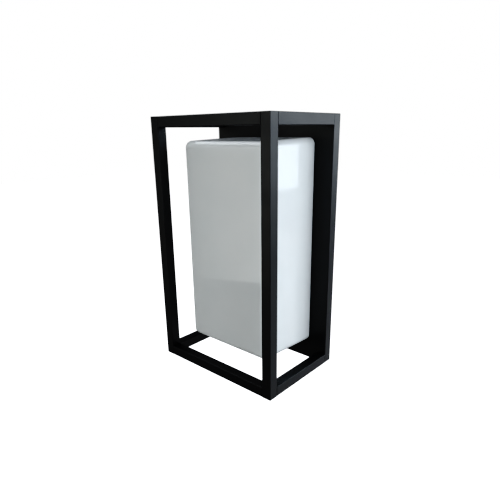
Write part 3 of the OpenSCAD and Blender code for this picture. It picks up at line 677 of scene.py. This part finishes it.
# ---- Lampholder -----------------------------------------------------------
# A porcelain body, cast and glazed, on a folded steel bracket enamelled with the reflector. A brass
# screw shell and a sprung brass tongue sit inside, and a hollow nipple and nut clamp it down.
LAMP_Y = -54 * MM
SEAT_Z = -95 * MM
HOLDER_TOP = -45 * MM
BORE_R = 14.1 * MM
FLOOR_Z = -72 * MM
HOLDER_R, NECK_R = 19.5 * MM, 14 * MM
NECK_H, SHOULDER_H = 12 * MM, 3 * MM
STEP_H, STEP_W = 2 * MM, 3 * MM
NIPPLE_HOLE_R, TONGUE_HOLE_R = 5 * MM, 3 * MM
CAST_ROUND = 1.6 * MM


def rounded_profile(points, radius, steps=4):
    """A profile whose inner corners are rounded: each corner p is replaced by the curve
    (1 - u)^2 a + 2 u (1 - u) p + u^2 b, with a and b at the given distance along its two sides."""
    points = np.array(points, float)
    made = [points[:1]]
    for before, corner, after in zip(points[:-2], points[1:-1], points[2:]):
        back, ahead = before - corner, after - corner
        cut_back = min(radius, np.linalg.norm(back) * 0.45) / np.linalg.norm(back)
        cut_ahead = min(radius, np.linalg.norm(ahead) * 0.45) / np.linalg.norm(ahead)
        u = np.linspace(0, 1, steps + 1)[:, None]
        made.append((1 - u) ** 2 * (corner + back * cut_back) + 2 * u * (1 - u) * corner
                    + u ** 2 * (corner + ahead * cut_ahead))
    return np.vstack(made + [points[-1:]])


# Glazed electrical porcelain: ivory white, glassy, with the faintest waviness under the glaze.
porcelain = surface("glazed_porcelain", ("ShaderNodeTexNoise", "Fac", {"Scale": 0.09 / MM, "Detail": 3.0}),
                    ("#e3ddcf", "#ebe6da"), (0.06, 0.12), 0.1 * MM, shading={"IOR": 1.5})
holder_points = [(NIPPLE_HOLE_R, SEAT_Z), (NECK_R, SEAT_Z), (NECK_R, SEAT_Z + NECK_H),
                 (HOLDER_R, SEAT_Z + NECK_H + SHOULDER_H), (HOLDER_R, HOLDER_TOP),
                 (BORE_R, HOLDER_TOP), (BORE_R, FLOOR_Z + STEP_H),
                 (BORE_R - STEP_W, FLOOR_Z + STEP_H), (BORE_R - STEP_W, FLOOR_Z),
                 (TONGUE_HOLE_R, FLOOR_Z)]
holder = turned("lampholder_porcelain", rounded_profile(holder_points, CAST_ROUND), (0, LAMP_Y, 0),
                "Z", around=96)
finish_piece(holder, porcelain, "lantern", "porcelain", "lampholder_body")
shelf = softened("lampholder_bracket", "lampholder_bracket_folded", 0.25 * MM)
finish_piece(shelf, enamel, "lantern", "white_enamel", "lampholder_bracket")

# Stamped brass: warm yellow, with darker handling stains of 5 mm or so.
brass = surface("stamped_brass", ("ShaderNodeTexNoise", "Fac", {"Scale": 0.19 / MM, "Detail": 4.0}),
                ("#b08d4c", "#c9a861"), (0.2, 0.34), 0.01 * MM, shading={"Metallic": 1.0})
for brass_node in ("lampholder_shell", "lampholder_contact", "terminal_barrels"):
    nodes[brass_node].material_slots[0].material = brass
for zinc_node in ("lampholder_nipple", "lampholder_nut", "terminal_screws", "earth_tag"):
    nodes[zinc_node].material_slots[0].material = zinc

# ---- Lamp -----------------------------------------------------------------
# A screw-in LED lamp: a nickel-plated brass cap with a rolled thread, a black glass insulator with a
# solder contact, a white moulded housing, and a frosted polycarbonate globe snapped on top.
CAP_Z = -65.9 * MM
CAP_TOP = CAP_Z + 23 * MM
CAP_CREST, CAP_ROOT = 13.2 * MM, 12.2 * MM
CAP_NOSE_R, CAP_SHOULDER_R, CAP_FLARE = 9.5 * MM, 11.6 * MM, 0.2 * MM
CAP_PITCH = 3.63 * MM
thread_low, thread_high = CAP_Z + 1.4 * MM, CAP_Z + 21.5 * MM

# Nickel plate: bright and slightly warm, with fine scuffs drawn round by screwing it in.
nickel = surface("nickel_plate", ("ShaderNodeTexNoise", "Fac", {"Scale": 1.6 / MM, "Detail": 2.0}),
                 ("#b7b2a8", "#cbc7bf"), (0.16, 0.3), 0.008 * MM, (0.1, 0.1, 1), {"Metallic": 1.0})
cap_profile = [(CAP_NOSE_R, CAP_Z), (CAP_SHOULDER_R, CAP_Z + 0.4 * MM), (CAP_ROOT, CAP_Z + 1.2 * MM)]
cap_profile += [(CAP_ROOT, z) for z in np.linspace(thread_low, thread_high, 64)]
cap_profile += [(CAP_ROOT + CAP_FLARE, CAP_TOP - 0.6 * MM), (CAP_ROOT + CAP_FLARE, CAP_TOP)]
cap_thread = threaded(CAP_PITCH, CAP_CREST - CAP_ROOT, thread_low, thread_high, CAP_PITCH,
                      CAP_PITCH / 2)
cap = turned("lamp_cap_threaded", cap_profile, (0, LAMP_Y, 0), "Z", around=96, reach=cap_thread)
finish_piece(cap, nickel, "lamp", "nickel_plate", "lamp_cap")
nodes["lamp_contact"].material_slots[0].material = nickel

# Vitrite, a black glass: jet black and glassy, with tiny flow ripples.
vitrite = surface("black_vitrite_glass", ("ShaderNodeTexNoise", "Fac", {"Scale": 0.5 / MM, "Detail": 2.0}),
                  ("#0b0b0d", "#131216"), (0.05, 0.12), 0.03 * MM, shading={"IOR": 1.52})
nodes["lamp_insulator"].material_slots[0].material = vitrite
# Moulded polybutylene: satin white, with a grain of about 0.4 mm.
white_plastic = surface("moulded_white_plastic",
                        ("ShaderNodeTexNoise", "Fac", {"Scale": 2.4 / MM, "Detail": 2.0}),
                        ("#dcdcda", "#e6e6e4"), (0.36, 0.48), 0.02 * MM, shading={"IOR": 1.55})
nodes["lamp_housing"].material_slots[0].material = white_plastic
# Frosted polycarbonate: milky and satin, its fine frosting about 0.5 mm across.
frosted = surface("frosted_polycarbonate",
                  ("ShaderNodeTexNoise", "Fac", {"Scale": 2.0 / MM, "Detail": 3.0}),
                  ("#e7e8e6", "#f1f2f0"), (0.34, 0.44), 0.01 * MM,
                  shading={"IOR": 1.58, "Subsurface Weight": 0.5, "Subsurface Scale": 4 * MM,
                           "Subsurface Radius": (1, 1, 1)})
nodes["lamp_globe"].material_slots[0].material = frosted

# White solder mask over aluminium, with yellow phosphor chips that stand up from it.
CHIP_H = 0.3 * MM
board_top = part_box("lamp_led_board")[1].z
led_board, board_tree, board_shader, board_place = new_material("led_board_mask")
height = add(board_tree, "ShaderNodeSeparateXYZ", links={0: board_place}).outputs["Z"]
chip = add(board_tree, "ShaderNodeMath", {"operation": "GREATER_THAN", 1: board_top - CHIP_H},
           {0: height})
speck = add(board_tree, "ShaderNodeTexNoise", {"Scale": 0.9 / MM}, {"Vector": board_place})
share = add(board_tree, "ShaderNodeMapRange", {"From Min": NOISE_LOW, "From Max": NOISE_HIGH},
            {"Value": speck.outputs["Fac"]})
mask = add(board_tree, "ShaderNodeMix",
           {"data_type": "RGBA", MIX_A: linear("#dfe0dc"), MIX_B: linear("#ecece8")},
           {0: share.outputs["Result"]})
chips = add(board_tree, "ShaderNodeMix", {"data_type": "RGBA", MIX_B: linear("#e2c04a")},
            {0: chip.outputs["Value"], MIX_A: mask.outputs[MIX_RESULT]})
board_tree.links.new(chips.outputs[MIX_RESULT], board_shader.inputs["Base Color"])
board_shader.inputs["Roughness"].default_value = 0.4
nodes["lamp_led_board"].material_slots[0].material = led_board
# Green solder mask, glossy, with darker ground between copper tracks of 1 to 2 mm.
circuit = surface("green_circuit_board", ("ShaderNodeTexVoronoi", "Distance", {"Scale": 0.6 / MM}),
                  ("#0f4a2c", "#1c6b40"), (0.25, 0.4), 0.03 * MM, shading={"IOR": 1.5})
nodes["lamp_driver"].material_slots[0].material = circuit

# ---- Terminal block and earth ---------------------------------------------
# A three-pole block of white polyamide with brass barrels, screwed through the reflector plate. The
# earth wire ends in a crimped ring tag under its own brass-coloured screw.
polyamide = surface("white_polyamide", ("ShaderNodeTexNoise", "Fac", {"Scale": 0.7 / MM, "Detail": 3.0}),
                    ("#d6d4ca", "#e2e0d8"), (0.4, 0.52), 0.03 * MM, shading={"IOR": 1.53})
block = softened("terminal_block", "terminal_block_moulded", 0.5 * MM)
finish_piece(block, polyamide, "lantern", "white_nylon", "terminal_block")
BLOCK_H = 16 * MM
BLOCK_SCREW_X, BLOCK_SCREW_Z = 5.75 * MM, 82 * MM
M3_HEAD_R, M3_HEAD_H, M3_R = 2.8 * MM, 1.8 * MM, 1.5 * MM
BLOCK_SCREW_L = 20.1 * MM
EARTH_X, EARTH_Z = 30 * MM, 60 * MM
TAG_T = 0.8 * MM
EARTH_SCREW_L = 6.4 * MM
block_face = PLATE_FACE - BLOCK_H
block_places = [(side * BLOCK_SCREW_X, block_face, BLOCK_SCREW_Z) for side in (-1, 1)]
block_screws = cross_screws("terminal_fixing_screws_pan", block_places, M3_HEAD_R, M3_HEAD_H, M3_R,
                            BLOCK_SCREW_L, out=-1)
finish_piece(block_screws, zinc, "lantern", "zinc_steel", "terminal_fixing_screws")
earth = cross_screws("earth_screw_pan", [(EARTH_X, PLATE_FACE - TAG_T, EARTH_Z)], PAN_R, PAN_H, M4_R,
                     EARTH_SCREW_L, out=-1)
finish_piece(earth, brass, "lantern", "brass", "earth_screw")

# ---- Wires ----------------------------------------------------------------
# Three PVC-insulated wires of 2.4 mm: brown and blue from the block to the lampholder, and a short
# green and yellow one to the earth tag. Each lies in one smooth line against the reflector.
WIRE_R = 1.2 * MM
STRIPE_FROM = 0.2
BARREL_Y = PLATE_FACE - 7 * MM
RUN_Y = PLATE_FACE - 6.5 * MM
CRIMP_Y = PLATE_FACE - 1.9 * MM


def wire_piece(name, route, across, around=20):
    """A round wire along a route. The line bends as (1 - u)^2 a + 2 u (1 - u) p + u^2 b between the
    middles of the route's legs, and a point is line + radius (cos t, sin t) in the plane across it.
    The attribute "stripe" keeps cos 2t, for two stripes that follow the wire."""
    p = np.array(route, float) * MM
    middles = (p[1:] + p[:-1]) / 2
    u = np.linspace(0, 1, 17)[:, None]
    line = [p[:1]]
    for a, corner, b in zip(middles[:-1], p[1:-1], middles[1:]):
        line.append(((1 - u) ** 2 * a + 2 * u * (1 - u) * corner + u ** 2 * b)[:-1])
    line = np.vstack(line + [middles[-1:], p[-1:]])
    ahead = np.gradient(line, axis=0)
    ahead /= np.linalg.norm(ahead, axis=1, keepdims=True)
    side = np.cross(ahead, np.array(across, float))
    side /= np.linalg.norm(side, axis=1, keepdims=True)
    up = np.cross(ahead, side)
    t = np.linspace(0, 2 * math.pi, around, endpoint=False)[None, :, None]
    rings = line[:, None] + WIRE_R * (np.cos(t) * side[:, None] + np.sin(t) * up[:, None])
    piece = outward(grid_piece(name, rings))
    stripe = np.zeros(len(piece.data.vertices))
    stripe[:len(line) * around] = np.tile(np.cos(2 * t).ravel(), len(line))
    piece.data.attributes.new("stripe", "FLOAT", "POINT").data.foreach_set("value", stripe)
    return piece


def supply_route(side):
    """The route of one supply wire in millimetres, from the block down to the lampholder's neck."""
    run = RUN_Y / MM
    return [(side * 11.5, BARREL_Y / MM, 73), (side * 11.5, BARREL_Y / MM, 60), (side * 13, run, 30),
            (side * 13, run, -20), (side * 7, run, -60), (side * 6, run, -89), (side * 6, -45, -89)]


earth_route = [(0, BARREL_Y / MM, 73), (0, BARREL_Y / MM, 62), (6, CRIMP_Y / MM, 60),
               (23.9, CRIMP_Y / MM, 60)]
# PVC insulation: softly glossy, extruded, with faint ripples of about 2 mm.
WIRES = [("live_wire", supply_route(-1), (1, 0, 0), "wire_brown", ("#4a2413", "#5a2d18")),
         ("neutral_wire", supply_route(1), (1, 0, 0), "wire_blue", ("#164a94", "#1f5cad")),
         ("earth_wire", earth_route, (0, 1, 0), "wire_green_yellow", ("#c9b91f", "#d9ca30"))]
for wire_name, route, across, wire_slot, colours in WIRES:
    pvc = surface("pvc_" + wire_slot, ("ShaderNodeTexNoise", "Fac", {"Scale": 0.5 / MM, "Detail": 2.0}),
                  colours, (0.3, 0.42), 0.02 * MM, shading={"IOR": 1.53})
    wire = wire_piece(wire_name + "_round", route, across)
    if wire_name == "earth_wire":
        stripes = pvc.node_tree
        stripe = add(stripes, "ShaderNodeAttribute", {"attribute_name": "stripe"}).outputs["Fac"]
        green = add(stripes, "ShaderNodeMath", {"operation": "GREATER_THAN", 1: STRIPE_FROM},
                    {0: stripe})
        shader = stripes.nodes["Principled BSDF"]
        yellow = shader.inputs["Base Color"].links[0].from_socket
        striped = add(stripes, "ShaderNodeMix", {"data_type": "RGBA", MIX_B: linear("#1f7a35")},
                      {0: green.outputs["Value"], MIX_A: yellow})
        stripes.links.new(striped.outputs[MIX_RESULT], shader.inputs["Base Color"])
    finish_piece(wire, pvc, "lantern", wire_slot, wire_name)

# ---- Floor and light ------------------------------------------------------
# A plain white floor well below the lantern, which shows as plain white and neither lights the
# lantern nor is mirrored in it. A window on the right, three softboxes, light from the ground and a
# dim even room light it.
FLOOR_DROP = 0.35
FLOOR_REACH = 6.0
floor_z = cad_low.z - FLOOR_DROP
floor_mesh = bpy.data.meshes.new("floor")
floor_corners = [(x * FLOOR_REACH, y * FLOOR_REACH, floor_z)
                 for x, y in ((-1, -1), (1, -1), (1, 1), (-1, 1))]
floor_mesh.from_pydata(floor_corners, [], [(0, 1, 2, 3)])
floor = bpy.data.objects.new("floor", floor_mesh)
bpy.context.collection.objects.link(floor)
floor_paint, _, floor_shader, _ = new_material("white_floor_paint")
floor_shader.inputs["Base Color"].default_value = linear("#f4f4f4")
floor_shader.inputs["Emission Color"].default_value = (1, 1, 1, 1)
floor_shader.inputs["Emission Strength"].default_value = 1.0
floor.data.materials.append(floor_paint)
floor.visible_diffuse = False
floor.visible_glossy = False


def soft_light(name, place, width, height, radiance, colour, aim=(0, 0, 0)):
    """A rectangular area light at place that faces aim. Its power is pi radiance width height, so
    that its face is as bright as radiance says."""
    data = bpy.data.lights.new(name, "AREA")
    data.shape = "RECTANGLE"
    data.size, data.size_y = width, height
    data.energy = radiance * math.pi * width * height
    data.color = linear(colour)[:3]
    light = bpy.data.objects.new(name, data)
    bpy.context.collection.objects.link(light)
    light.location = place
    light.rotation_euler = (Vector(aim) - Vector(place)).to_track_quat("-Z", "Y").to_euler()
    light.visible_camera = False
    return light


# The window runs from in front of the lantern to far behind it, and its sill is level with the
# lantern's foot, so that its corner shows in the gloss of the diffuser's side.
WINDOW_X = 1.2
WINDOW_NEAR, WINDOW_FAR = -0.6, 3.6
WINDOW_SILL, WINDOW_HEAD = -0.143, 1.25
window_middle = ((WINDOW_NEAR + WINDOW_FAR) / 2, (WINDOW_SILL + WINDOW_HEAD) / 2)
soft_light("window_light", (WINDOW_X, *window_middle), WINDOW_FAR - WINDOW_NEAR,
           WINDOW_HEAD - WINDOW_SILL, 3.0, "#eff8ff", aim=(0, *window_middle))

# The softbox on the left fades in from its outer edge over FILL_FADE of its width, so that the gloss
# of the diffuser's front grades from left to right.
FILL_FADE = 0.2
fill = soft_light("fill_light", (-1.0, -2.05, 0.15), 2.0, 2.0, 1.75, "#f6f8f4")
fill.data.use_nodes = True
cloth = fill.data.node_tree
face = add(cloth, "ShaderNodeNewGeometry")
across = add(cloth, "ShaderNodeSeparateXYZ", links={0: face.outputs["Parametric"]})
fade = add(cloth, "ShaderNodeMapRange", {"From Max": FILL_FADE}, {0: across.outputs[0]})
cloth.links.new(fade.outputs[0], cloth.nodes["Emission"].inputs["Strength"])

# One softbox in front on the right, one high on the left over the open top, and the ground's light.
soft_light("key_light", (0.8, -1.9, 0.9), 1.2, 1.2, 1.75, "#f6f8f4")
soft_light("sky_light", (-1.05, -0.1, 1.35), 1.1, 1.1, 2.6, "#f4f8ff")
soft_light("ground_light", (1.2, 0.7, floor_z + 0.01), 2.0, 2.0, 0.7, "#f4f6f8", aim=(1.2, 0.7, 1))

ROOM_LIGHT = 0.12
world = bpy.data.worlds.new("room")
bpy.context.scene.world = world
world.use_nodes = True
air = world.node_tree
backdrop = air.nodes["Background"]
backdrop.inputs["Color"].default_value = linear("#eef2f8")
backdrop.inputs["Strength"].default_value = ROOM_LIGHT
white = add(air, "ShaderNodeBackground", {"Strength": 1.0, "Color": (1, 1, 1, 1)})
path = add(air, "ShaderNodeLightPath")
chosen = add(air, "ShaderNodeMixShader", links={0: path.outputs["Is Camera Ray"],
                                                1: backdrop.outputs[0], 2: white.outputs[0]})
air.links.new(chosen.outputs[0], air.nodes["World Output"].inputs["Surface"])
